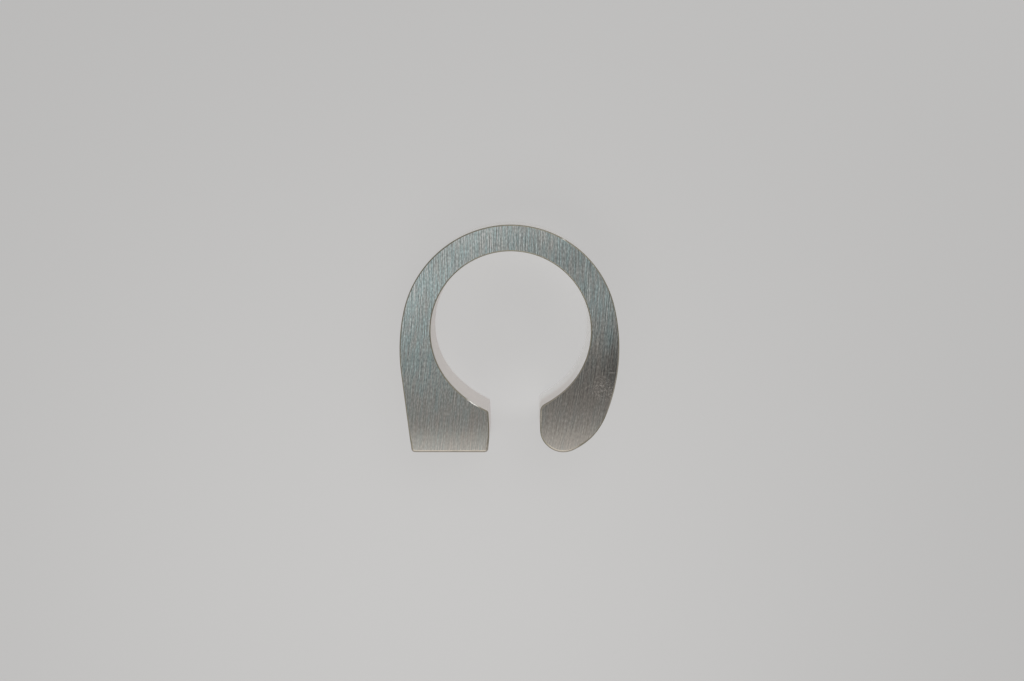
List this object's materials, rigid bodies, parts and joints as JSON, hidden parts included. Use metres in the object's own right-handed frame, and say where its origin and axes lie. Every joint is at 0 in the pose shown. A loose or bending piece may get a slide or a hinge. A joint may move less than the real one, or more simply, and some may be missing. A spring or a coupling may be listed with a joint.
{
  "type": "asymmetric open ring",
  "caption": "Open finger ring of thick brushed silver, with a square foot on one end and a round toe on the other, and a gap between them.",
  "frame": {"origin": "on the finger hole's axis, in the plane of the back face that the ring lies on", "axes": "+Z along the finger hole's axis, from the back face to the brushed front face; +Y from the gap to the top of the arch; +X from the square leg to the toe leg"},
  "size_m": [0.0233, 0.0244, 0.008],
  "materials": {
    "silver": "brushed flat faces and satin walls"
  },
  "bodies": {
    "root": {"ring": "silver"}
  },
  "joints": []
}
